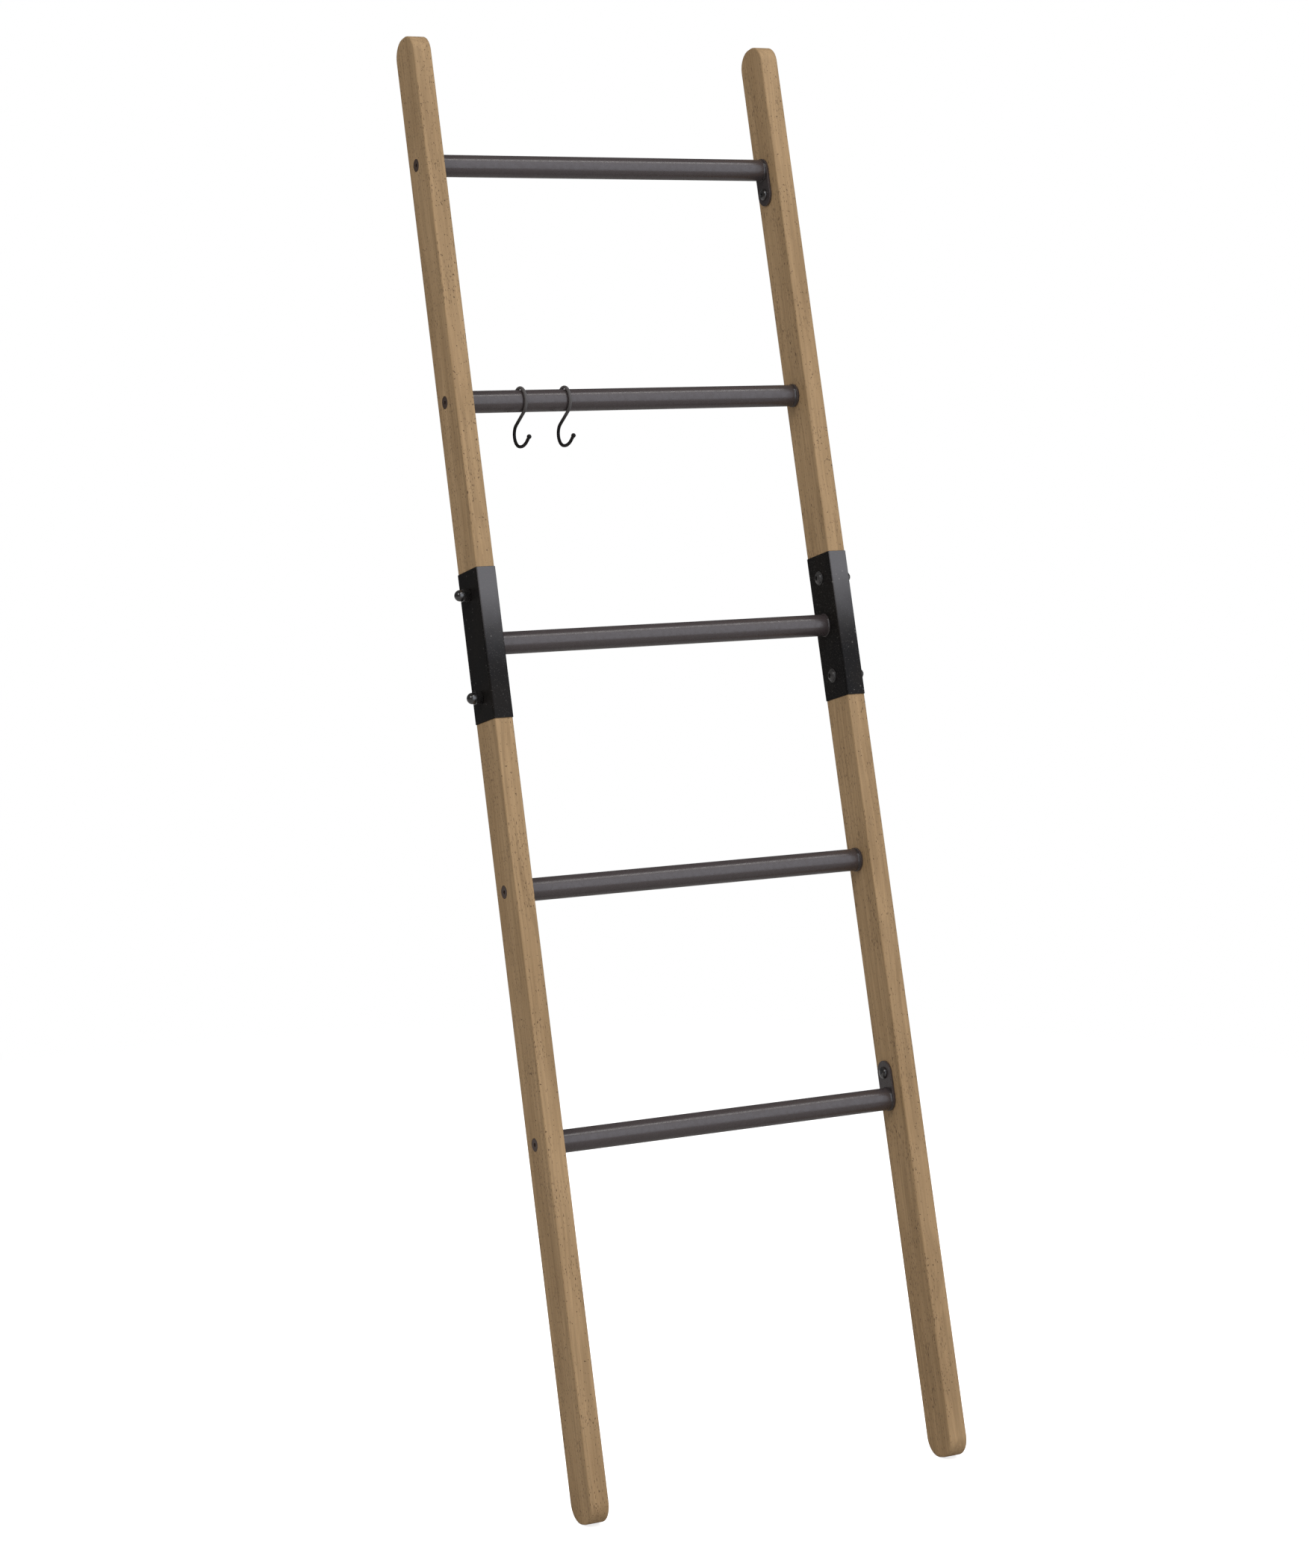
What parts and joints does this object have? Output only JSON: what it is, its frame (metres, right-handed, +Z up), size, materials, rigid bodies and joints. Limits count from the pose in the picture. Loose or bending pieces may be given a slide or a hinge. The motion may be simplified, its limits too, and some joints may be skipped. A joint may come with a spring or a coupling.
{
  "type": "leaning blanket ladder",
  "caption": "Leaning ladder rack with wooden rails in bolted halves, round steel rungs to hang quilts on, and S hooks that swing on a rung.",
  "frame": {"origin": "on the floor, below the middle of the leaning ladder's bounding box", "axes": "+Z up, X along the rungs, +Y towards the wall that the ladder leans on, so the user stands on the -Y side"},
  "size_m": [0.511, 0.4904, 1.603],
  "materials": {
    "wood": "tan-brown stained wood with fine straight grain and small dark pores, matt",
    "rung_steel": "dark bronze-grey hammered powder coat, satin",
    "sleeve_steel": "dark grey-brown powder coat with a fine sparkle",
    "fastener_steel": "dark bronze-black finish, semi-gloss",
    "bush_steel": "plain steel, turned",
    "hook_steel": "black satin paint on bent wire"
  },
  "bodies": {
    "ladder": {"left_rail_upper": "wood", "left_rail_lower": "wood", "right_rail_upper": "wood", "right_rail_lower": "wood", "left_sleeve": "sleeve_steel", "right_sleeve": "sleeve_steel", "rung_1": "rung_steel", "rung_2": "rung_steel", "rung_3": "rung_steel", "rung_4": "rung_steel", "rung_5": "rung_steel", "rung_1_left_tab": "rung_steel", "rung_1_left_screw": "fastener_steel", "rung_1_left_bush": "bush_steel", "rung_1_left_bolt": "fastener_steel", "rung_1_right_tab": "rung_steel", "rung_1_right_screw": "fastener_steel", "rung_1_right_bush": "bush_steel", "rung_1_right_bolt": "fastener_steel", "rung_2_left_plate": "rung_steel", "rung_2_left_bush": "bush_steel", "rung_2_left_bolt": "fastener_steel", "rung_2_right_plate": "rung_steel", "rung_2_right_bush": "bush_steel", "rung_2_right_bolt": "fastener_steel", "rung_4_left_plate": "rung_steel", "rung_4_left_bush": "bush_steel", "rung_4_left_bolt": "fastener_steel", "rung_4_right_plate": "rung_steel", "rung_4_right_bush": "bush_steel", "rung_4_right_bolt": "fastener_steel", "rung_5_left_tab": "rung_steel", "rung_5_left_screw": "fastener_steel", "rung_5_left_bush": "bush_steel", "rung_5_left_bolt": "fastener_steel", "rung_5_right_tab": "rung_steel", "rung_5_right_screw": "fastener_steel", "rung_5_right_bush": "bush_steel", "rung_5_right_bolt": "fastener_steel", "left_sleeve_bolt_upper": "fastener_steel", "left_sleeve_nut_upper": "fastener_steel", "left_sleeve_bolt_lower": "fastener_steel", "left_sleeve_nut_lower": "fastener_steel", "right_sleeve_bolt_upper": "fastener_steel", "right_sleeve_nut_upper": "fastener_steel", "right_sleeve_bolt_lower": "fastener_steel", "right_sleeve_nut_lower": "fastener_steel"},
    "left_hook": {"hook_left": "hook_steel"},
    "right_hook": {"hook_right": "hook_steel"}
  },
  "joints": [
    {"name": "left_hook_swing", "type": "hinge", "parent": "ladder", "child": "left_hook", "pos_m": [-0.1435, 0.11531, 1.1895], "axis": [1, 0, 0], "range_deg": [-70, 70]},
    {"name": "right_hook_swing", "type": "hinge", "parent": "ladder", "child": "right_hook", "pos_m": [-0.0875, 0.11531, 1.1895], "axis": [1, 0, 0], "range_deg": [-70, 70]}
  ]
}
